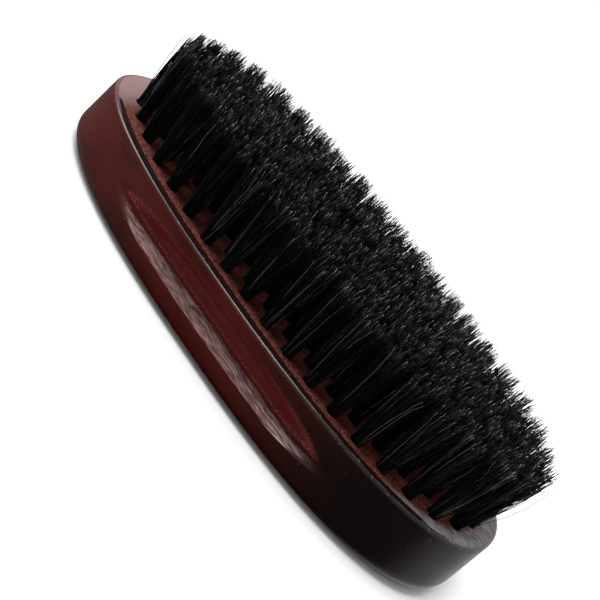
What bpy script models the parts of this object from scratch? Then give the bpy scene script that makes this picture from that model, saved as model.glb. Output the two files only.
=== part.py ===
"""Oval beard brush: a one-piece hardwood body, drilled from its face with blind holes in
concentric rings, a tuft of bristle folded into every hole, and flat wire anchors that hold
the folds. +X runs along the body, +Y across it, and +Z from the flat back to the bristle
tips. The origin is at the middle of the back. All lengths are in metres.
"""

import math

import bmesh
import bpy
from mathutils import Matrix, Vector

# Body
BODY_LENGTH = 0.125
BODY_WIDTH = 0.0609
OUTLINE_POWER = 2.45
OUTLINE_POINTS = 76
BACK_ROUND = 0.0037
BACK_ROUND_STEPS = 4
WALL_DRAFT = 0.00055
RIM_EDGE = 0.0007
RIM_HEIGHT = 0.0146
FACE_HEIGHT = 0.0149
FACE_MARGIN = 0.0032

# Finger scoops, one along each long side. The profile gives depth into the side and height.
SCOOP_LENGTH = 0.080
SCOOP_PROFILE = (
    (-0.0020, 0.0046),
    (0.0000, 0.0050),
    (0.0012, 0.0053),
    (0.0022, 0.0061),
    (0.0027, 0.0074),
    (0.0025, 0.0087),
    (0.0018, 0.0100),
    (0.0008, 0.0111),
    (-0.0020, 0.0132),
)

# Tuft rings, from the rim to the middle
RING_COUNTS = (40, 36, 30, 26, 22)
RING_SIDE_LEANS = (6.5, 4.8, 3.2, 1.8, 0.7)
RING_PHASES = (0.76, 0.26, 0.125, 0.5, 0.0)
RING_MIDDLE = 0.0009
RING_HALF_LENGTH = 0.0553
RING_HALF_WIDTH = 0.02495
RING_POWERS = (2.55, 2.55, 2.6, 2.6, 3.0)
RING_SPACING = 0.00515

# Tufts and their holes
TUFT_SIDES = 6
TUFT_ROOT_RADIUS = 0.00115
TUFT_NECK_RADIUS = 0.0013
TUFT_TIP_RADIUS = 0.0023
TUFT_LENGTH = 0.0174
TUFT_DEPTH = 0.0074
HOLE_DEPTH = 0.0077
HOLE_OVERRUN = 0.002
HOLE_RADIUS = 0.0017
TUFT_SECTIONS = (
    (-TUFT_DEPTH, TUFT_ROOT_RADIUS),
    (0.0, TUFT_NECK_RADIUS),
    (TUFT_LENGTH, TUFT_TIP_RADIUS),
)
TIP_BAND_WIDTH = 0.0020
TIP_BAND_LOW = 0.0120
TIP_BAND_HIGH = 0.0162

# Anchors: flat wire across the fold of a tuft, biting into the wood on both sides
ANCHOR_COUNT = 15
ANCHOR_LENGTH = 0.0036
ANCHOR_THICKNESS = 0.00045
ANCHOR_HEIGHT = 0.0018
ANCHOR_LIFT = 0.0011
GAP = 0.0003


def clear_scene():
    """Starts from an empty scene."""
    for item in list(bpy.data.objects):
        bpy.data.objects.remove(item)


def material(name, colour, roughness, metallic=0.0):
    """A Principled BSDF material."""
    made = bpy.data.materials.new(name)
    made.use_nodes = True
    shader = made.node_tree.nodes["Principled BSDF"]
    shader.inputs["Base Color"].default_value = (*colour, 1.0)
    shader.inputs["Roughness"].default_value = roughness
    shader.inputs["Metallic"].default_value = metallic
    made.diffuse_color = (*colour, 1.0)
    made.roughness = roughness
    made.metallic = metallic
    return made


def add_object(name, mesh, finish=None):
    """An object of this mesh in the scene, in this material."""
    made = bpy.data.objects.new(name, mesh)
    if finish is not None and not mesh.materials:
        mesh.materials.append(finish)
    bpy.context.scene.collection.objects.link(made)
    return made


def add_helper(name, mesh):
    """A cutter or other helper, which is not part of the brush."""
    made = add_object(name, mesh)
    made.hide_render = True
    made.display_type = "WIRE"
    return made


def mesh_from(bm, name):
    """Turns a bmesh into a mesh with its faces pointing out."""
    bmesh.ops.recalc_face_normals(bm, faces=bm.faces)
    mesh = bpy.data.meshes.new(name)
    bm.to_mesh(mesh)
    bm.free()
    return mesh


def oval(half_length, half_width, power, count, phase=0.0):
    """Points spaced evenly along a superellipse, each with its outward direction.

    They start at the -X end and run along the -Y side; phase is in spacings.
    """
    steps = 1440
    fine = []
    for i in range(steps + 1):
        angle = math.pi + 2 * math.pi * i / steps
        c, s = math.cos(angle), math.sin(angle)
        x = half_length * math.copysign(abs(c) ** (2 / power), c)
        y = half_width * math.copysign(abs(s) ** (2 / power), s)
        fine.append(Vector((x, y)))
    along = [0.0]
    for before, after in zip(fine, fine[1:]):
        along.append(along[-1] + (after - before).length)
    found = []
    i = 0
    for k in range(count):
        target = along[-1] * ((k + phase) % count) / count
        if target < along[i]:
            i = 0
        while along[i + 1] < target:
            i += 1
        share = (target - along[i]) / (along[i + 1] - along[i])
        point = fine[i].lerp(fine[i + 1], share)
        run = fine[i + 1] - fine[i]
        found.append((point, Vector((run.y, -run.x)).normalized()))
    return found


def add_loops(bm, loops):
    """Joins loops of points into a closed shape, with a face at each end."""
    rows = [[bm.verts.new(point) for point in loop] for loop in loops]
    count = len(rows[0])
    for low, high in zip(rows, rows[1:]):
        for i in range(count):
            j = (i + 1) % count
            bm.faces.new((low[i], low[j], high[j], high[i]))
    bm.faces.new(list(reversed(rows[0])))
    bm.faces.new(rows[-1])


def add_turned(bm, sections, place):
    """Adds a prism through sections of (height, radius)."""
    loops = []
    for height, radius in sections:
        loop = []
        for i in range(TUFT_SIDES):
            angle = 2 * math.pi * (i + 0.5) / TUFT_SIDES
            loop.append(place @ Vector((radius * math.cos(angle), radius * math.sin(angle), height)))
        loops.append(loop)
    add_loops(bm, loops)


def add_box(bm, size, centre, place):
    """Adds a box with this size about a centre."""
    matrix = place @ Matrix.Translation(centre) @ Matrix.Diagonal((*size, 1.0))
    bmesh.ops.create_cube(bm, size=1.0, matrix=matrix)


def cut(target, cutter, name, operation="DIFFERENCE"):
    """Puts a Boolean on the target."""
    modifier = target.modifiers.new(name, "BOOLEAN")
    modifier.object = cutter
    modifier.operation = operation
    modifier.solver = "EXACT"


def ring_places(ring):
    """The frame of each tuft in a ring: its origin on the face, +Z along the hole.

    The tufts lean outward on the long sides and stand upright at the ends.
    """
    inset = ring * RING_SPACING
    spots = oval(
        RING_HALF_LENGTH - inset,
        RING_HALF_WIDTH - inset,
        RING_POWERS[ring],
        RING_COUNTS[ring],
        RING_PHASES[ring],
    )
    places = []
    for point, outward in spots:
        turn = Matrix.Rotation(math.atan2(outward.y, outward.x), 4, "Z")
        lean = math.radians(RING_SIDE_LEANS[ring]) * outward.y**2
        tilt = Matrix.Rotation(lean, 4, "Y")
        places.append(Matrix.Translation((RING_MIDDLE + point.x, point.y, FACE_HEIGHT)) @ turn @ tilt)
    return places


def body_sections():
    """(inset from the widest outline, height) from the flat back up to the face."""
    sections = []
    for i in range(BACK_ROUND_STEPS + 1):
        angle = math.pi / 2 * i / BACK_ROUND_STEPS
        sections.append((BACK_ROUND * (1 - math.sin(angle)), BACK_ROUND * (1 - math.cos(angle))))
    sections.append((WALL_DRAFT, RIM_HEIGHT - RIM_EDGE))
    sections.append((WALL_DRAFT + RIM_EDGE, RIM_HEIGHT))
    sections.append((FACE_MARGIN, FACE_HEIGHT))
    return sections


def body_blank():
    """The oval body before it is scooped and drilled."""
    bm = bmesh.new()
    loops = []
    for inset, height in body_sections():
        spots = oval(BODY_LENGTH / 2 - inset, BODY_WIDTH / 2 - inset, OUTLINE_POWER, OUTLINE_POINTS)
        loops.append([Vector((point.x, point.y, height)) for point, _ in spots])
    add_loops(bm, loops)
    return mesh_from(bm, "brush_body")


def scoop_cutter():
    """Both finger scoops: one profile run straight along each long side."""
    bm = bmesh.new()
    for side in (-1, 1):
        loops = []
        for x in (-SCOOP_LENGTH / 2, SCOOP_LENGTH / 2):
            loops.append([Vector((x, side * (BODY_WIDTH / 2 - depth), z)) for depth, z in SCOOP_PROFILE])
        add_loops(bm, loops)
    return add_helper("scoop_cutter", mesh_from(bm, "scoop_cutter"))


def hole_cutter(rings):
    """Every blind hole: one prism per tuft."""
    bm = bmesh.new()
    for places in rings:
        for place in places:
            add_turned(bm, ((-HOLE_DEPTH, HOLE_RADIUS), (HOLE_OVERRUN, HOLE_RADIUS)), place)
    return add_helper("hole_cutter", mesh_from(bm, "hole_cutter"))


def bite_cutter(places):
    """The slots that the ends of the anchors bite into the wood."""
    bm = bmesh.new()
    size = (ANCHOR_THICKNESS + 2 * GAP, ANCHOR_LENGTH + 2 * GAP, ANCHOR_HEIGHT + 2 * GAP)
    for place in places:
        add_box(bm, size, Vector((0, 0, anchor_height())), place)
    return add_helper("bite_cutter", mesh_from(bm, "bite_cutter"))


def anchor_height():
    """Height of an anchor's middle, measured along its tuft from the face."""
    return -TUFT_DEPTH + ANCHOR_LIFT + ANCHOR_HEIGHT / 2


def make_body(rings, finish):
    """The wooden body, scooped, drilled and slotted."""
    body = add_object("brush_body", body_blank(), finish)
    cut(body, scoop_cutter(), "finger_scoops")
    cut(body, hole_cutter(rings), "tuft_holes")
    cut(body, bite_cutter(rings[0][:ANCHOR_COUNT]), "anchor_bites")
    body.data.shade_smooth()
    body.data.set_sharp_from_angle(angle=math.radians(35))


def outer_tuft_mesh(finish):
    """One outer tuft: a flared bundle with a window through its fold for the anchor."""
    bm = bmesh.new()
    add_turned(bm, TUFT_SECTIONS, Matrix.Identity(4))
    blank = add_object("tuft_blank", mesh_from(bm, "tuft_blank"), finish)
    bm = bmesh.new()
    size = (ANCHOR_THICKNESS + 2 * GAP, 3 * TUFT_ROOT_RADIUS, ANCHOR_HEIGHT + 2 * GAP)
    add_box(bm, size, Vector((0, 0, anchor_height())), Matrix.Identity(4))
    window = add_helper("fold_window", mesh_from(bm, "fold_window"))
    cut(blank, window, "fold_window")
    graph = bpy.context.evaluated_depsgraph_get()
    mesh = bpy.data.meshes.new_from_object(blank.evaluated_get(graph))
    mesh.name = "tuft_outer"
    mesh.shade_smooth()
    mesh.set_sharp_from_angle(angle=math.radians(50))
    bpy.data.objects.remove(blank)
    bpy.data.objects.remove(window)
    return mesh


def make_outer_tufts(places, finish):
    """The outer ring, a separate tuft in each hole."""
    mesh = outer_tuft_mesh(finish)
    for i, place in enumerate(places):
        tuft = add_object(f"tuft_outer_{i + 1:02d}", mesh)
        tuft.matrix_world = place


def make_inner_ring(ring, places, finish):
    """An inner ring: its tufts, and the band where their spread tips run together."""
    bm = bmesh.new()
    for place in places:
        add_turned(bm, TUFT_SECTIONS, place)
    tufts = add_helper(f"tufts_ring_{ring + 1}", mesh_from(bm, f"tufts_ring_{ring + 1}"))
    bm = bmesh.new()
    corners = (
        (-TIP_BAND_WIDTH / 2, TIP_BAND_LOW),
        (TIP_BAND_WIDTH / 2, TIP_BAND_LOW),
        (TIP_BAND_WIDTH / 2, TIP_BAND_HIGH),
        (-TIP_BAND_WIDTH / 2, TIP_BAND_HIGH),
    )
    rows = [[bm.verts.new(place @ Vector((x, 0, z))) for x, z in corners] for place in places]
    for row, after in zip(rows, rows[1:] + rows[:1]):
        for i in range(4):
            j = (i + 1) % 4
            bm.faces.new((row[i], row[j], after[j], after[i]))
    band = add_object(f"bristle_ring_{ring + 1}", mesh_from(bm, f"bristle_ring_{ring + 1}"), finish)
    cut(band, tufts, "tufts", "UNION")


def make_anchors(places, finish):
    """Flat wire anchors, each across the fold of an outer tuft."""
    bm = bmesh.new()
    size = (ANCHOR_THICKNESS, ANCHOR_LENGTH, ANCHOR_HEIGHT)
    add_box(bm, size, Vector((0, 0, anchor_height())), Matrix.Identity(4))
    mesh = mesh_from(bm, "anchor")
    mesh.materials.append(finish)
    for i, place in enumerate(places):
        anchor = add_object(f"anchor_{i + 1:02d}", mesh)
        anchor.matrix_world = place


def main():
    clear_scene()
    lacquered_wood = material("lacquered_wood", (0.070, 0.010, 0.010), 0.3)
    bristle = material("bristle", (0.006, 0.006, 0.007), 0.45)
    anchor_wire = material("anchor_wire", (0.62, 0.60, 0.55), 0.35, metallic=1.0)
    rings = [ring_places(ring) for ring in range(len(RING_COUNTS))]
    make_body(rings, lacquered_wood)
    make_outer_tufts(rings[0], bristle)
    for ring, places in enumerate(rings[1:], start=1):
        make_inner_ring(ring, places, bristle)
    make_anchors(rings[0][:ANCHOR_COUNT], anchor_wire)


main()
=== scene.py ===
"""Looks of the oval beard brush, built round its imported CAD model.

The wooden body is remade as a fine mesh with its drilled holes, a lacquered wall and a
sanded face. Every tuft is remade as separate tapered bristles, and every anchor that the
CAD leaves out is a strip of wire in its hole.
+X runs along the body, -Y is the long side that the camera sees, and +Z points from the
flat back to the bristle tips. All lengths are in metres.
"""

import math

import bmesh
import bpy
import numpy as np
from mathutils import Matrix, Vector


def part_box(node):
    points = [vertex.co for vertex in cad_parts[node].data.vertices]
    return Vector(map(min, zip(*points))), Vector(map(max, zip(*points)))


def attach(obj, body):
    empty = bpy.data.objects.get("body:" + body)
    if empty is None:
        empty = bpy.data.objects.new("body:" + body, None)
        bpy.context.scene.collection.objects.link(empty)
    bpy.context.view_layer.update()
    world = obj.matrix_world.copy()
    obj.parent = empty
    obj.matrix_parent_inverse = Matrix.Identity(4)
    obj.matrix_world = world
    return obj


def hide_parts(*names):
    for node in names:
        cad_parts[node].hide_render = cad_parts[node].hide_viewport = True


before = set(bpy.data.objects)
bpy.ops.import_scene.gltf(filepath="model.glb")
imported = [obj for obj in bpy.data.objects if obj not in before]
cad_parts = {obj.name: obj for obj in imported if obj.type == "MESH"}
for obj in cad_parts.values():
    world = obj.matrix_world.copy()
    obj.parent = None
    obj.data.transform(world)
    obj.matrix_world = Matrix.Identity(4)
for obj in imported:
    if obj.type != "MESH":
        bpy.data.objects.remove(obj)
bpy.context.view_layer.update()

SEED = 7

# Body, from the CAD node and the CAD's own layout
BODY_LOW, BODY_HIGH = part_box("brush_body")
HALF_LENGTH = (BODY_HIGH.x - BODY_LOW.x) / 2
HALF_WIDTH = (BODY_HIGH.y - BODY_LOW.y) / 2
FACE_HEIGHT = BODY_HIGH.z
OUTLINE_POWER = 2.45
OUTLINE_POINTS = 640
OVAL_STEPS = 5760
BACK_ROUND = 0.0037
BACK_ROUND_STEPS = 8
WALL_DRAFT = 0.00055
RIM_EDGE = 0.0007
RIM_EDGE_STEPS = 7
RIM_HEIGHT = FACE_HEIGHT - 0.0003
RIM_LIFT_AT_ENDS = 0.00022
SHARP_ANGLE = 32.0
# (inset from the widest outline, height under the face, depth of the dark groove on the sides)
FACE_STEPS = (
    (0.00140, 0.00028, 0.00004),
    (0.00155, 0.00027, 0.00012),
    (0.00175, 0.00025, 0.00018),
    (0.00195, 0.00022, 0.00018),
    (0.00215, 0.00018, 0.00012),
    (0.00235, 0.00012, 0.00004),
    (0.00260, 0.00005, 0.0),
    (0.00290, 0.0, 0.0),
)
# The groove fades out where the outline turns to the ends (limits of the outward direction's Y
# share) and gets shallower towards +X (limits in X, and the share lost)
GROOVE_TURN = (0.78, 0.90)
GROOVE_NARROWS = (0.005, 0.025)
GROOVE_LOSS = 0.55
DROP_AT_ENDS = 0.2

# Finger scoop: a quarter ellipse up from its crisp lower edge, then a cosine to its soft upper edge
SCOOP_DEPTH = 0.0027
SCOOP_LOW = 0.0050
SCOOP_DEEPEST = 0.0074
SCOOP_RISE = 0.0046
SCOOP_SHARP = 0.00012
SCOOP_SOFT = 0.0016
SCOOP_SHARP_SHARE = 0.4
SCOOP_CUTOFF = 8
# Rows of the wall, which crowd towards the scoop's lower edge
ROWS_UNDER_SCOOP = 12
ROWS_OVER_SCOOP = 44
CROWDING_UNDER = 1.6
CROWDING_OVER = 1.4

# Tuft rings, as in the CAD, from the rim to the middle
RING_COUNTS = (40, 36, 30, 26, 22)
RING_SIDE_LEANS = (6.5, 4.8, 3.2, 1.8, 0.7)
RING_PHASES = (0.76, 0.26, 0.125, 0.5, 0.0)
RING_MIDDLE = 0.0009
RING_HALF_LENGTH = 0.0553
RING_HALF_WIDTH = 0.02495
RING_POWERS = (2.55, 2.55, 2.6, 2.6, 3.0)
RING_SPACING = 0.00515
HOLE_DEPTH = 0.0077
HOLE_RADIUS = 0.00145
HOLE_OVERRUN = 0.002
HOLE_SIDES = 20

# Bristles
BRISTLES_PER_TUFT = 120
BRISTLE_SIDES = 3
BRISTLE_DEPTH = 0.0060
BRISTLE_LENGTH = 0.0186
BRISTLE_STATIONS = (-BRISTLE_DEPTH, 0.0, 0.34, 0.62, 0.80, 0.92, 1.0)
BRISTLE_RADII = (0.00009, 0.00009, 0.00009, 0.000088, 0.00008, 0.000065, 0.00004)
BRISTLE_THICKNESS = (0.8, 1.1)
NECK_RADIUS = 0.00128
SQUEEZE_IN_HOLE = 0.85
TIP_SPREAD = 2.5
SPREAD_POWER = 0.95
TIP_SCATTER = 0.0008
CLUMPS = 9
CLUMP_REACH = (0.25, 0.95)
CLUMP_PULL = 0.42
CLUMP_SCATTER = 0.0007
CLUMP_SHORTER = 0.0009
OWN_SHORTER = 0.0026
OWN_SHORTER_POWER = 2.5
BOW = 0.00022
WAVE = 0.00008
FRIZZ_SHARE = 0.12
FRIZZ = 0.0006
FRIZZ_START = 0.8
STRAY_SHARE = 0.035
STRAY_SCATTER = 0.0015
STRAY_BOW = 4.0
STRAY_EXTRA_AT_END = 1.5
# Shares of black, blue-black and glossy bristles; the glossy ones are thicker, and dark grey as a painted
# sheen along their length
SHADE_SHARES = (0.66, 0.25, 0.09)
GLOSSY = 2
GLOSSY_THICKNESS = 1.35

# Anchors
CAD_ANCHORS = 15
ANCHOR_SIZE = (0.00045, 0.0036, 0.0018)
ANCHOR_HEIGHT = -0.0054

# Colours, as linear red, green, blue and alpha
LACQUER_DEEP = (0.030, 0.0030, 0.0019, 1)
LACQUER_THIN = (0.062, 0.0048, 0.0026, 1)
LACQUER_GRAIN = (0.11, 0.010, 0.007, 1)
# painted shade: the lacquer darkens to nearly black towards the +X end
LACQUER_PAINTED_SHADE = (0.0045, 0.0022, 0.0022, 1)
LACQUER_DUST = (0.30, 0.17, 0.16, 1)
# The scoop's fibre colours paint a sheen on the slope that faces up
FIBRE_DARK = (0.045, 0.0080, 0.0070, 1)
FIBRE_SHEEN_PALE = (0.25, 0.150, 0.146, 1)
FIBRE_SPECK = (0.12, 0.028, 0.026, 1)
SCOOP_RED = (0.062, 0.0040, 0.0032, 1)
SCOOP_SPOT = (0.36, 0.090, 0.085, 1)
# painted reflection of the black bristles on top of the rim
RIM_BRISTLE_REFLECTION = (0.006, 0.0035, 0.0035, 1)
RIM_CHIP = (0.22, 0.17, 0.16, 1)
GROOVE_REFLECTION_MAROON = (0.0095, 0.0024, 0.0022, 1)
DUSTY_DARK = (0.030, 0.0055, 0.0045, 1)
DUSTY_PALE = (0.215, 0.066, 0.052, 1)
SHADED_FACE_DARK = (0.026, 0.0045, 0.0035, 1)
SHADED_FACE_PALE = (0.110, 0.030, 0.024, 1)
PINK_SHEEN = (0.235, 0.150, 0.146, 1)
GREY_SHEEN_DARK = (0.050, 0.044, 0.046, 1)
GREY_SHEEN_PALE = (0.20, 0.182, 0.190, 1)
WIRE_DARK = (0.46, 0.43, 0.38, 1)
WIRE_PALE = (0.66, 0.64, 0.60, 1)
PAPER_DARK = (0.86, 0.86, 0.86, 1)
PAPER_PALE = (0.88, 0.88, 0.88, 1)
# (name, colour, roughness, specular level) of each shade of bristle
BRISTLE_SHADES = (
    ("bristle_black", (0.0036, 0.0037, 0.0038), 0.30, 0.08),
    ("bristle_blue_black", (0.0046, 0.0056, 0.0060), 0.22, 0.28),
    # painted sheen: the glossy bristles are dark grey, not black
    ("bristle_glossy_painted_sheen", (0.040, 0.042, 0.045), 0.08, 1.0),
)
LACQUER_SPECULAR = 0.42
FACE_SPECULAR = 0.05
WOOD_BUMP_DEPTH = 0.00012
BRISTLE_BUMP_DEPTH = 0.00002

# Studio: (name, direction of the light, angle it spans in degrees, strength)
SUNS = (
    ("light_key", (-0.72, -0.05, 0.69), 32, 1.7),
    ("light_top", (-0.22, -0.20, 0.95), 20, 1.5),
    ("light_back", (0.05, 0.40, 0.90), 30, 0.8),
)
FLOOR_SIZE = 6.0
FLOOR_GAP = 0.0001

# Camera
CAMERA_PLACE = (0.05568, -0.20006, 0.09617)
CAMERA_TURN = (59.11, -43.61, 37.95)
CAMERA_LENS = 64.73
CAMERA_SENSOR = 36.0


def oval(half_length, half_width, power, count, phase=0.0):
    """Points spaced evenly along a superellipse, and the outward direction at each.

    They start at the -X end and run along the -Y side; phase is in spacings.
    """
    angle = math.pi + np.linspace(0, 2 * math.pi, OVAL_STEPS + 1)
    c, s = np.cos(angle), np.sin(angle)
    x = half_length * np.sign(c) * np.abs(c) ** (2 / power)
    y = half_width * np.sign(s) * np.abs(s) ** (2 / power)
    along = np.concatenate([[0.0], np.cumsum(np.hypot(np.diff(x), np.diff(y)))])
    target = along[-1] * ((np.arange(count) + phase) % count) / count
    points = np.stack([np.interp(target, along, x), np.interp(target, along, y)], axis=1)
    slope_x = np.abs(points[:, 0] / half_length) ** (power - 1) / half_length
    slope_y = np.abs(points[:, 1] / half_width) ** (power - 1) / half_width
    outward = np.stack([np.sign(points[:, 0]) * slope_x, np.sign(points[:, 1]) * slope_y], axis=1)
    return points, outward / np.linalg.norm(outward, axis=1)[:, None]


def ring_places(ring):
    """The frame of each tuft in a ring: its origin on the face, +Z along the hole, +X outward."""
    inset = ring * RING_SPACING
    points, outward = oval(
        RING_HALF_LENGTH - inset,
        RING_HALF_WIDTH - inset,
        RING_POWERS[ring],
        RING_COUNTS[ring],
        RING_PHASES[ring],
    )
    places = []
    for (x, y), (out_x, out_y) in zip(points, outward):
        turn = Matrix.Rotation(math.atan2(out_y, out_x), 4, "Z")
        tilt = Matrix.Rotation(math.radians(RING_SIDE_LEANS[ring]) * out_y**2, 4, "Y")
        places.append(Matrix.Translation((RING_MIDDLE + x, y, FACE_HEIGHT)) @ turn @ tilt)
    return places


def add_piece(name, mesh, finishes, replaced=()):
    """A piece of the brush, in these materials, which rides on the one body."""
    made = bpy.data.objects.new(name, mesh)
    for finish in finishes:
        mesh.materials.append(finish)
    bpy.context.scene.collection.objects.link(made)
    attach(made, "root")
    if replaced:
        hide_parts(*replaced)
    return made


# Body


def scoop_profile(height):
    """Depth of the scoop into the side, from the widest outline, at each height."""
    low = np.clip((SCOOP_DEEPEST - height) / (SCOOP_DEEPEST - SCOOP_LOW), 0, None)
    lower = np.where(low < 1, np.sqrt(np.clip(1 - low**2, 0, 1)), -SCOOP_CUTOFF * (low - 1))
    high = np.clip(height - SCOOP_DEEPEST, 0, None) / SCOOP_RISE
    upper = np.where(high < 1, np.cos(high * math.pi / 2), -(high - 1) * math.pi / 2)
    return SCOOP_DEPTH * np.where(height < SCOOP_DEEPEST, lower, upper)


def scooped(rows):
    """Presses both finger scoops into rows of points: a crisp edge below, a soft one above."""
    depth = HALF_WIDTH - np.abs(rows[..., 1])
    height = rows[..., 2]
    groove = scoop_profile(height)
    rise = np.clip((height - SCOOP_LOW) / (SCOOP_DEEPEST - SCOOP_LOW) - SCOOP_SHARP_SHARE, 0, 1)
    blend = SCOOP_SHARP + (SCOOP_SOFT - SCOOP_SHARP) * rise
    near = np.clip(blend - np.abs(depth - groove), 0, None) / blend
    pressed = np.maximum(depth, groove) + near**2 * blend / 4
    rows[..., 1] = np.sign(rows[..., 1]) * (HALF_WIDTH - pressed)


def scoop_edge(outline):
    """Height of the scoop's lower edge at each point of the outline."""
    depth = np.clip((HALF_WIDTH - np.abs(outline[:, 1])) / SCOOP_DEPTH, 0, 1)
    return SCOOP_LOW + (SCOOP_DEEPEST - SCOOP_LOW) * (1 - np.sqrt(1 - depth**2))


def share_between(value, limits):
    """How far the values are from the first limit to the second, from 0 to 1."""
    low, high = limits
    return np.clip((value - low) / (high - low), 0, 1)


def groove_share(outline, outward):
    """How much of the dark groove each point of the outline has: all on the sides, none at the ends."""
    side = share_between(np.abs(outward[:, 1]), GROOVE_TURN)
    return side * side * (3 - 2 * side) * (1 - GROOVE_LOSS * share_between(outline[:, 0], GROOVE_NARROWS))


def body_rows():
    """Rows of points round the body, from the flat back up the wall and in over the rim."""
    outline, outward = oval(HALF_LENGTH, HALF_WIDTH, OUTLINE_POWER, OUTLINE_POINTS)
    grooved = groove_share(outline, outward)
    rows = []

    def add_row(inset, height):
        ring = np.empty((OUTLINE_POINTS, 3))
        ring[:, :2] = outline - outward * np.reshape(inset, (-1, 1))
        ring[:, 2] = height
        rows.append(ring)

    for i in range(BACK_ROUND_STEPS + 1):
        angle = math.pi / 2 * i / BACK_ROUND_STEPS
        add_row(BACK_ROUND * (1 - math.sin(angle)), BACK_ROUND * (1 - math.cos(angle)))
    wall_top = RIM_HEIGHT - RIM_EDGE
    edge = scoop_edge(outline)
    heights = []
    for i in range(1, ROWS_UNDER_SCOOP + 1):
        share = 1 - (1 - i / ROWS_UNDER_SCOOP) ** CROWDING_UNDER
        heights.append(BACK_ROUND + (edge - BACK_ROUND) * share)
    for i in range(1, ROWS_OVER_SCOOP + 1):
        heights.append(edge + (wall_top - edge) * (i / ROWS_OVER_SCOOP) ** CROWDING_OVER)
    for height in heights:
        add_row(WALL_DRAFT * (height - BACK_ROUND) / (wall_top - BACK_ROUND), height)
    top = RIM_EDGE + RIM_LIFT_AT_ENDS * (1 - grooved)
    for i in range(1, RIM_EDGE_STEPS + 1):
        angle = math.pi / 2 * i / RIM_EDGE_STEPS
        add_row(WALL_DRAFT + RIM_EDGE * (1 - math.cos(angle)), wall_top + top * math.sin(angle))
    drop_share = DROP_AT_ENDS + (1 - DROP_AT_ENDS) * grooved
    for inset, drop, groove in FACE_STEPS:
        add_row(inset, FACE_HEIGHT - drop * drop_share - groove * grooved)
    rows = np.array(rows)
    scooped(rows)
    return rows


def body_blank():
    """The body before it is drilled: its first finish up to the rim, its second on the face."""
    rows = body_rows()
    count = len(rows)
    corners = np.arange(count * OUTLINE_POINTS).reshape(count, OUTLINE_POINTS)
    after = np.roll(corners, -1, axis=1)
    faces = np.stack([corners[:-1], after[:-1], after[1:], corners[1:]], axis=2).reshape(-1, 4).tolist()
    faces.append(corners[0][::-1].tolist())
    faces.append(corners[-1].tolist())
    mesh = bpy.data.meshes.new("brush_body_fine")
    mesh.from_pydata(rows.reshape(-1, 3).tolist(), [], faces)
    slots = np.zeros(len(faces), dtype=np.int32)
    slots[(count - len(FACE_STEPS)) * OUTLINE_POINTS:-2] = 1
    slots[-1] = 1
    mesh.polygons.foreach_set("material_index", slots)
    return mesh


def hole_cutter(rings):
    """Every blind hole that a tuft stands in, with the face's finish inside."""
    bm = bmesh.new()
    depth = HOLE_DEPTH + HOLE_OVERRUN
    middle = Matrix.Translation((0, 0, HOLE_OVERRUN - depth / 2))
    for places in rings:
        for place in places:
            bmesh.ops.create_cone(
                bm,
                cap_ends=True,
                segments=HOLE_SIDES,
                radius1=HOLE_RADIUS,
                radius2=HOLE_RADIUS,
                depth=depth,
                matrix=place @ middle,
            )
    for face in bm.faces:
        face.material_index = 1
    mesh = bpy.data.meshes.new("hole_cutter")
    bm.to_mesh(mesh)
    bm.free()
    cutter = bpy.data.objects.new("hole_cutter", mesh)
    bpy.context.scene.collection.objects.link(cutter)
    return cutter


def make_body(rings, finishes):
    """The wooden body: fine, scooped on both sides and drilled for every tuft."""
    blank = bpy.data.objects.new("body_blank", body_blank())
    for finish in finishes:
        blank.data.materials.append(finish)
    bpy.context.scene.collection.objects.link(blank)
    cutter = hole_cutter(rings)
    drill = blank.modifiers.new("tuft_holes", "BOOLEAN")
    drill.object = cutter
    drill.solver = "EXACT"
    graph = bpy.context.evaluated_depsgraph_get()
    mesh = bpy.data.meshes.new_from_object(blank.evaluated_get(graph))
    mesh.name = "brush_body_fine"
    mesh.shade_smooth()
    mesh.set_sharp_from_angle(angle=math.radians(SHARP_ANGLE))
    bpy.data.objects.remove(blank)
    bpy.data.objects.remove(cutter)
    return add_piece("wood_body", mesh, [], ["brush_body"])


# Bristles


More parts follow.
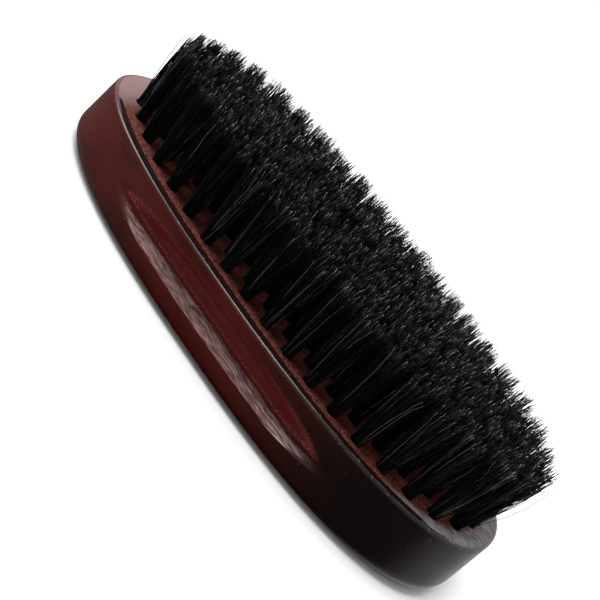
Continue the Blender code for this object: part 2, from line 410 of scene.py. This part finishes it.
def bristle_lines(place, rng):
    """Centre lines of one tuft's bristles, as (bristle, station, xyz).

    They gather in a few clumps towards the tip. Those at the -X end don't spread outward,
    and those at the +X end have more strays.
    """
    count = BRISTLES_PER_TUFT
    reach = NECK_RADIUS * np.sqrt(rng.random(count))
    angle = rng.random(count) * 2 * math.pi
    root = np.stack([reach * np.cos(angle), reach * np.sin(angle)], axis=1)
    clump_at = np.arange(CLUMPS) * 2 * math.pi / CLUMPS + rng.random(CLUMPS)
    clump_reach = NECK_RADIUS * rng.uniform(*CLUMP_REACH, CLUMPS)
    clumps = np.stack([clump_reach * np.cos(clump_at), clump_reach * np.sin(clump_at)], axis=1)
    mine = np.argmin(np.linalg.norm(root[:, None] - clumps[None], axis=2), axis=1)
    clump_tip = clumps * TIP_SPREAD + rng.normal(0, CLUMP_SCATTER, (CLUMPS, 2))
    own_tip = root * TIP_SPREAD + rng.normal(0, TIP_SCATTER, (count, 2))
    tip = own_tip + (clump_tip[mine] - own_tip) * CLUMP_PULL
    along = (place.translation.x - RING_MIDDLE) / RING_HALF_LENGTH
    free = 1 - max(-along, 0.0) ** 3
    out = tip[:, 0] - root[:, 0]
    tip[:, 0] = np.where(out > 0, root[:, 0] + out * free, tip[:, 0])
    more = 1 + STRAY_EXTRA_AT_END * max(along, 0.0) ** 3
    stray = rng.random(count) < STRAY_SHARE * free * more
    tip = np.where(stray[:, None], tip + rng.normal(0, STRAY_SCATTER, (count, 2)), tip)
    shorter = CLUMP_SHORTER * rng.random(CLUMPS)[mine] + OWN_SHORTER * rng.random(count) ** OWN_SHORTER_POWER
    length = BRISTLE_LENGTH - shorter
    bow = rng.normal(0, BOW, (count, 2)) * np.where(stray, STRAY_BOW, 1.0)[:, None]
    frizz = rng.normal(0, FRIZZ, (count, 2)) * (rng.random(count) < FRIZZ_SHARE)[:, None]
    frizz[:, 0] = np.where(frizz[:, 0] > 0, frizz[:, 0] * free, frizz[:, 0])
    lines = np.empty((count, len(BRISTLE_STATIONS), 3))
    for i, station in enumerate(BRISTLE_STATIONS):
        share = max(station, 0.0)
        end_share = max(share - FRIZZ_START, 0) / (1 - FRIZZ_START)
        across = root + (tip - root) * share**SPREAD_POWER + bow * math.sin(math.pi * share)
        across += rng.normal(0, WAVE, (count, 2)) * share + frizz * end_share
        lines[:, i, :2] = across * (SQUEEZE_IN_HOLE if station < 0 else 1.0)
        lines[:, i, 2] = station if station <= 0 else length * share
    return lines


def bristle_mesh(name, places, rng):
    """Every bristle of these tufts, each a tapered three-sided tube with closed ends."""
    turns = np.arange(BRISTLE_SIDES) * 2 * math.pi / BRISTLE_SIDES
    radii = np.array(BRISTLE_RADII)
    stations = len(BRISTLE_STATIONS)
    corners = []
    shade = rng.choice(3, (len(places), BRISTLES_PER_TUFT), p=SHADE_SHARES)
    for place, own in zip(places, shade):
        lines = bristle_lines(place, rng)
        twist = rng.random(len(lines))[:, None] * 2 * math.pi + turns
        thick = rng.uniform(*BRISTLE_THICKNESS, len(lines)) * np.where(own == GLOSSY, GLOSSY_THICKNESS, 1.0)
        thick = thick[:, None, None] * radii[None, :, None]
        ring = np.zeros((len(lines), stations, BRISTLE_SIDES, 3))
        ring[..., 0] = thick * np.cos(twist)[:, None]
        ring[..., 1] = thick * np.sin(twist)[:, None]
        points = lines[:, :, None] + ring
        matrix = np.array(place)
        corners.append(points @ matrix[:3, :3].T + matrix[:3, 3])
    corners = np.concatenate(corners)
    hairs = len(corners)
    index = np.arange(hairs * stations * BRISTLE_SIDES).reshape(hairs, stations, BRISTLE_SIDES)
    after = np.roll(index, -1, axis=2)
    sides = np.stack([index[:, :-1], after[:, :-1], after[:, 1:], index[:, 1:]], axis=3)
    faces = sides.reshape(-1, 4).tolist() + index[:, 0, ::-1].tolist() + index[:, -1].tolist()
    mesh = bpy.data.meshes.new(name)
    mesh.from_pydata(corners.reshape(-1, 3).tolist(), [], faces)
    shade = shade.ravel()
    shade_of_sides = np.repeat(shade, (stations - 1) * BRISTLE_SIDES)
    slots = np.concatenate([shade_of_sides, shade, shade]).astype(np.int32)
    mesh.polygons.foreach_set("material_index", slots)
    mesh.shade_smooth()
    return mesh


def make_bristles(rings, finishes, rng):
    """One piece for each outer tuft, and one for each inner ring, as the CAD has them."""
    for i, place in enumerate(rings[0]):
        name = f"bristles_outer_{i + 1:02d}"
        mesh = bristle_mesh(name, [place], rng)
        add_piece(name, mesh, finishes, [f"tuft_outer_{i + 1:02d}"])
    for ring, places in enumerate(rings[1:], start=2):
        name = f"bristles_ring_{ring}"
        mesh = bristle_mesh(name, places, rng)
        add_piece(name, mesh, finishes, [f"bristle_ring_{ring}"])


# Anchors


def make_anchors(rings, finish):
    """The anchors that the CAD leaves out, one piece per ring, deep in their holes."""
    for ring, places in enumerate(rings):
        bm = bmesh.new()
        for place in places[CAD_ANCHORS if ring == 0 else 0:]:
            shape = Matrix.Translation((0, 0, ANCHOR_HEIGHT)) @ Matrix.Diagonal((*ANCHOR_SIZE, 1.0))
            bmesh.ops.create_cube(bm, size=1.0, matrix=place @ shape)
        mesh = bpy.data.meshes.new(f"anchors_ring_{ring + 1}")
        bm.to_mesh(mesh)
        bm.free()
        add_piece(mesh.name, mesh, [finish])
    for name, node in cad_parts.items():
        if name.startswith("anchor_"):
            node.data.materials.clear()
            node.data.materials.append(finish)


# Materials


def new_material(name):
    """An empty node material and its tree."""
    made = bpy.data.materials.new(name)
    made.use_nodes = True
    made.node_tree.nodes.clear()
    return made, made.node_tree


def add_node(tree, kind, inputs=None, **settings):
    """Adds a node with these settings; an input is a value or another node's output."""
    made = tree.nodes.new(kind)
    for name, value in settings.items():
        setattr(made, name, value)
    for name, value in (inputs or {}).items():
        if isinstance(value, bpy.types.NodeSocket):
            tree.links.new(value, made.inputs[name])
        else:
            made.inputs[name].default_value = value
    return made


def maths(tree, operation, first, second=0.0, third=0.0):
    """The result of a Math node."""
    return add_node(tree, "ShaderNodeMath", {0: first, 1: second, 2: third}, operation=operation).outputs[0]


def ramp(tree, value, low, high, out_low=0.0, out_high=1.0):
    """A smooth step from out_low at low to out_high at high."""
    inputs = {"Value": value, "From Min": low, "From Max": high, "To Min": out_low, "To Max": out_high}
    return add_node(tree, "ShaderNodeMapRange", inputs, interpolation_type="SMOOTHSTEP").outputs[0]


def blend(tree, share, first, second):
    """Mixes two colours."""
    made = add_node(tree, "ShaderNodeMix", data_type="RGBA")
    for socket, value in zip((made.inputs[0], made.inputs[6], made.inputs[7]), (share, first, second)):
        if isinstance(value, bpy.types.NodeSocket):
            tree.links.new(value, socket)
        else:
            socket.default_value = value
    return made.outputs[2]


def noise(tree, place, scale, detail=3.0, roughness=0.55):
    """Noise stretched by a scale along each axis, in features per metre."""
    spread = add_node(tree, "ShaderNodeMapping", {"Vector": place, "Scale": scale}).outputs[0]
    inputs = {"Vector": spread, "Scale": 1.0, "Detail": detail, "Roughness": roughness}
    return add_node(tree, "ShaderNodeTexNoise", inputs).outputs[0]


def wood_start(name):
    """A wood material's tree, with what both finishes of the body share.

    reach is 1 on the widest outline and falls to 0 at the middle of the body.
    """
    material, tree = new_material(name)
    place = add_node(tree, "ShaderNodeTexCoord").outputs["Object"]
    axes = add_node(tree, "ShaderNodeSeparateXYZ", {0: place}).outputs
    speckle = noise(tree, place, (3000, 4200, 4200), 3.0, 0.6)
    shares = []
    for axis, half in zip(axes, (HALF_LENGTH, HALF_WIDTH)):
        share = maths(tree, "ABSOLUTE", maths(tree, "DIVIDE", axis, half))
        shares.append(maths(tree, "POWER", share, OUTLINE_POWER))
    reach = maths(tree, "ADD", *shares)
    return material, tree, place, axes, speckle, reach


def wood_end(tree, colour, rough, specular, bump_amount, height):
    """Closes a wood material with a bumped surface."""
    inputs = {"Strength": bump_amount, "Distance": WOOD_BUMP_DEPTH, "Height": height}
    bump = add_node(tree, "ShaderNodeBump", inputs).outputs[0]
    inputs = {"Base Color": colour, "Roughness": rough, "Specular IOR Level": specular, "Normal": bump}
    shader = add_node(tree, "ShaderNodeBsdfPrincipled", inputs)
    add_node(tree, "ShaderNodeOutputMaterial", {"Surface": shader.outputs[0]})


def lacquer_material():
    """Mahogany-red lacquer on the back, the walls and the rounded edge of the rim, with painted shade
    towards the +X end, a painted sheen in the scoops and a painted dark reflection on top of the rim.
    """
    material, tree, place, axes, speckle, reach = wood_start("lacquered_wood_fine")
    normal = add_node(tree, "ShaderNodeTexCoord").outputs["Normal"]
    facing = add_node(tree, "ShaderNodeSeparateXYZ", {0: normal}).outputs
    broad = noise(tree, place, (30, 90, 120), 3.0)
    grain = noise(tree, place, (110, 300, 1700), 5.0, 0.65)
    streaks = noise(tree, place, (350, 3600, 3600), 3.0, 0.6)

    # Redder where it is thin and along the grain, nearly black towards the +X end as painted shade, with
    # specks of dust
    cloud = ramp(tree, broad, 0.32, 0.68)
    lacquer = blend(tree, cloud, LACQUER_DEEP, LACQUER_THIN)
    lacquer = blend(tree, ramp(tree, grain, 0.52, 0.74, 0.0, 0.35), lacquer, LACQUER_GRAIN)
    # painted shade: nearly black towards the +X end, on every side of the body
    painted_shade_to_x_end = ramp(tree, axes[0], -0.008, 0.044, 0.0, 0.95)
    lacquer = blend(tree, painted_shade_to_x_end, lacquer, LACQUER_PAINTED_SHADE)
    cells = add_node(tree, "ShaderNodeTexVoronoi", {"Vector": place, "Scale": 620.0}).outputs
    pick = add_node(tree, "ShaderNodeSeparateColor", {0: cells["Color"]}).outputs[0]
    specks = ramp(tree, cells["Distance"], 0.11, 0.06)
    dust = maths(tree, "MULTIPLY", specks, ramp(tree, pick, 0.80, 0.90))
    lacquer = blend(tree, maths(tree, "MULTIPLY", dust, 0.35), lacquer, LACQUER_DUST)

    # Scoop: open fibres with a painted sheen, pale and greyish where the slope faces up, and deep red where
    # it faces down
    over_edge = ramp(tree, axes[2], SCOOP_LOW - 0.0002, SCOOP_LOW)
    under_rim = ramp(tree, axes[2], 0.0130, 0.0105)
    level = maths(tree, "MULTIPLY", over_edge, under_rim)
    in_scoop = maths(tree, "MULTIPLY", level, ramp(tree, reach, 0.976, 0.957))
    slope = maths(tree, "MULTIPLY_ADD", speckle, 0.60, maths(tree, "SUBTRACT", facing[2], 0.30))
    sheen_facing_up = maths(tree, "MULTIPLY", ramp(tree, slope, 0.05, 0.42), in_scoop)
    facing_down = maths(tree, "MULTIPLY", ramp(tree, slope, 0.06, -0.18), in_scoop)
    painted_fibre_sheen = blend(tree, ramp(tree, streaks, 0.42, 0.60), FIBRE_DARK, FIBRE_SHEEN_PALE)
    painted_fibre_sheen = blend(tree, ramp(tree, speckle, 0.48, 0.60, 0.0, 0.5), painted_fibre_sheen, FIBRE_SPECK)
    # painted sheen: the up-facing slope of the scoop is painted pale
    lacquer = blend(tree, sheen_facing_up, lacquer, painted_fibre_sheen)
    spots = ramp(tree, speckle, 0.50, 0.60, 0.0, 0.8)
    spots = maths(tree, "MULTIPLY", spots, ramp(tree, facing[2], -0.40, -0.05))
    deep = blend(tree, spots, SCOOP_RED, SCOOP_SPOT)
    lacquer = blend(tree, maths(tree, "MULTIPLY", facing_down, 0.85), lacquer, deep)

    # Rim: nearly black on top, a painted reflection of the black bristles, with small worn chips on its
    # rounded edge
    # painted reflection: the top of the rim is nearly black, except at the -X end
    top = ramp(tree, axes[2], RIM_HEIGHT - 0.00016, RIM_HEIGHT - 0.00004)
    top = maths(tree, "MULTIPLY", top, ramp(tree, axes[0], -0.054, -0.046, 0.0, 0.9))
    lacquer = blend(tree, top, lacquer, RIM_BRISTLE_REFLECTION)
    chips = ramp(tree, noise(tree, place, (900, 1500, 1500), 2.0), 0.64, 0.70, 0.0, 0.5)
    edge = maths(tree, "MULTIPLY", chips, ramp(tree, axes[2], RIM_HEIGHT - 0.0004, RIM_HEIGHT - 0.0002))
    lacquer = blend(tree, edge, lacquer, RIM_CHIP)

    matte = maths(tree, "MULTIPLY", sheen_facing_up, 0.75)
    gloss = maths(tree, "MULTIPLY_ADD", broad, 0.08, 0.20)
    rough = add_node(tree, "ShaderNodeMix", {0: matte, 2: gloss, 3: 0.70}).outputs[0]
    height = maths(tree, "ADD", speckle, maths(tree, "MULTIPLY", streaks, 0.8))
    bump_amount = maths(tree, "MULTIPLY_ADD", matte, 0.8, 0.03)
    wood_end(tree, lacquer, rough, LACQUER_SPECULAR, bump_amount, height)
    return material


def face_material():
    """The sanded face: painted shade among the tufts, a dark groove with a painted reflection inside the
    rim, a painted pink sheen at the -X end and a painted grey sheen at the +X end.
    """
    material, tree, place, axes, speckle, reach = wood_start("sanded_wood_fine")
    coarse = noise(tree, place, (2000, 2900, 2900), 4.0, 0.7)
    patch = noise(tree, place, (260, 420, 420), 4.0, 0.6)
    dusty = blend(tree, ramp(tree, coarse, 0.42, 0.60), DUSTY_DARK, DUSTY_PALE)
    # painted shade: the sanded face among the tufts is darker than the strip outside them
    face_among_tufts_shaded = blend(tree, ramp(tree, coarse, 0.42, 0.66), SHADED_FACE_DARK, SHADED_FACE_PALE)
    near_rim = ramp(tree, maths(tree, "MULTIPLY_ADD", patch, 0.30, reach), 0.74, 0.92)
    sanded = blend(tree, near_rim, face_among_tufts_shaded, dusty)
    # painted sheen: the face turns smooth pink towards the -X end
    smooth = ramp(tree, maths(tree, "MULTIPLY_ADD", patch, 0.006, axes[0]), -0.045, -0.052)
    sanded = blend(tree, smooth, sanded, PINK_SHEEN)
    # painted sheen: the face turns grey with streaks towards the +X end, most near the rim
    rays = noise(tree, place, (500, 3200, 3200), 4.0, 0.6)
    grey = blend(tree, ramp(tree, rays, 0.38, 0.52), GREY_SHEEN_DARK, GREY_SHEEN_PALE)
    level = maths(tree, "MULTIPLY_ADD", rays, 0.16, reach)
    grey_sheen_share = maths(tree, "MULTIPLY", ramp(tree, level, 0.87, 0.93), ramp(tree, axes[0], 0.040, 0.048))
    sanded = blend(tree, grey_sheen_share, sanded, grey)
    # below the face: dark lacquer in the groove with a painted reflection of the black bristles, and painted
    # shade on the walls of the holes
    ragged = maths(tree, "MULTIPLY_ADD", coarse, 0.00012, axes[2])
    on_face = ramp(tree, ragged, RIM_HEIGHT + 0.00024, RIM_HEIGHT + 0.00031)
    colour = blend(tree, on_face, GROOVE_REFLECTION_MAROON, sanded)
    height = maths(tree, "ADD", speckle, coarse)
    rough = maths(tree, "MULTIPLY_ADD", coarse, 0.2, 0.6)
    wood_end(tree, colour, rough, FACE_SPECULAR, 0.4, height)
    return material


def bristle_material(name, colour, roughness, specular):
    """One shade of dyed boar bristle with a scaly surface; the dark grey of the glossy shade is a painted
    sheen.
    """
    material, tree = new_material(name)
    place = add_node(tree, "ShaderNodeTexCoord").outputs["Object"]
    scale = noise(tree, place, (9000, 9000, 1500), 2.0)
    inputs = {"Strength": 0.25, "Distance": BRISTLE_BUMP_DEPTH, "Height": scale}
    bump = add_node(tree, "ShaderNodeBump", inputs).outputs[0]
    rough = maths(tree, "MULTIPLY_ADD", scale, 0.2, roughness)
    inputs = {"Base Color": (*colour, 1), "Roughness": rough, "Specular IOR Level": specular, "Normal": bump}
    shader = add_node(tree, "ShaderNodeBsdfPrincipled", inputs)
    add_node(tree, "ShaderNodeOutputMaterial", {"Surface": shader.outputs[0]})
    return material


def wire_material():
    """Bright drawn wire."""
    material, tree = new_material("anchor_wire_fine")
    place = add_node(tree, "ShaderNodeTexCoord").outputs["Object"]
    drawn = noise(tree, place, (6000, 900, 6000), 3.0)
    colour = blend(tree, drawn, WIRE_DARK, WIRE_PALE)
    rough = maths(tree, "MULTIPLY_ADD", drawn, 0.2, 0.22)
    inputs = {"Base Color": colour, "Metallic": 1.0, "Roughness": rough}
    shader = add_node(tree, "ShaderNodeBsdfPrincipled", inputs)
    add_node(tree, "ShaderNodeOutputMaterial", {"Surface": shader.outputs[0]})
    return material


def floor_material():
    """Plain pale studio paper."""
    material, tree = new_material("studio_floor")
    place = add_node(tree, "ShaderNodeTexCoord").outputs["Object"]
    tooth = noise(tree, place, (300, 300, 300), 3.0)
    colour = blend(tree, tooth, PAPER_DARK, PAPER_PALE)
    inputs = {"Base Color": colour, "Roughness": 0.9, "Specular IOR Level": 0.1}
    shader = add_node(tree, "ShaderNodeBsdfPrincipled", inputs)
    add_node(tree, "ShaderNodeOutputMaterial", {"Surface": shader.outputs[0]})
    return material


# Studio


def make_floor():
    """A wide pale floor, a hair under the brush's back, which mirror-like rays don't see."""
    bm = bmesh.new()
    bmesh.ops.create_grid(bm, x_segments=8, y_segments=8, size=FLOOR_SIZE)
    mesh = bpy.data.meshes.new("studio_floor")
    bm.to_mesh(mesh)
    bm.free()
    mesh.materials.append(floor_material())
    floor = bpy.data.objects.new("studio_floor", mesh)
    floor.location.z = BODY_LOW.z - FLOOR_GAP
    floor.visible_glossy = False
    bpy.context.scene.collection.objects.link(floor)


def add_sun(name, source, angle, strength):
    """A very wide, soft light from one direction, even over the whole floor."""
    data = bpy.data.lights.new(name, "SUN")
    data.angle = math.radians(angle)
    data.energy = strength
    light = bpy.data.objects.new(name, data)
    light.rotation_euler = Vector(source).to_track_quat("Z", "Y").to_euler()
    bpy.context.scene.collection.objects.link(light)


def make_studio():
    """Floor, three wide soft lights, and a world that is pale above and dark below.

    Below the horizon only the +X side is bright, and the -X side a little, so the lacquer of
    the long walls mirrors a dark surrounding.
    """
    make_floor()
    for sun in SUNS:
        add_sun(*sun)
    world = bpy.data.worlds.new("studio")
    world.use_nodes = True
    tree = world.node_tree
    tree.nodes.clear()
    direction = add_node(tree, "ShaderNodeTexCoord").outputs["Generated"]
    axes = add_node(tree, "ShaderNodeSeparateXYZ", {0: direction}).outputs
    above = ramp(tree, axes[1], -0.4, 0.5, 0.5, 1.0)
    towards_right = maths(tree, "MULTIPLY_ADD", axes[0], 0.9, axes[1])
    right = ramp(tree, towards_right, 0.38, 1.05, 0.01, 0.62)
    right = maths(tree, "MULTIPLY", right, ramp(tree, axes[0], -0.1, 0.3))
    below = maths(tree, "ADD", right, ramp(tree, axes[0], -0.35, -0.75, 0.0, 0.15))
    horizon = ramp(tree, axes[2], -0.07, -0.02)
    strength = add_node(tree, "ShaderNodeMix", {0: horizon, 2: below, 3: above}).outputs[0]
    background = add_node(tree, "ShaderNodeBackground", {"Color": (1.0, 1.0, 1.0, 1), "Strength": strength})
    add_node(tree, "ShaderNodeOutputWorld", {"Surface": background.outputs[0]})
    bpy.context.scene.world = world
    bpy.context.scene.view_settings.view_transform = "Standard"


def make_camera():
    """The camera, over the long side and rolled so that the tips point up to the right."""
    data = bpy.data.cameras.new("camera")
    data.lens = CAMERA_LENS
    data.sensor_width = CAMERA_SENSOR
    data.clip_start = 0.01
    camera = bpy.data.objects.new("camera", data)
    camera.location = CAMERA_PLACE
    camera.rotation_euler = [math.radians(angle) for angle in CAMERA_TURN]
    bpy.context.scene.collection.objects.link(camera)
    bpy.context.scene.camera = camera


def main():
    make_camera()
    make_studio()
    rng = np.random.default_rng(SEED)
    rings = [ring_places(ring) for ring in range(len(RING_COUNTS))]
    make_body(rings, [lacquer_material(), face_material()])
    shades = [bristle_material(*shade) for shade in BRISTLE_SHADES]
    make_bristles(rings, shades, rng)
    make_anchors(rings, wire_material())


main()
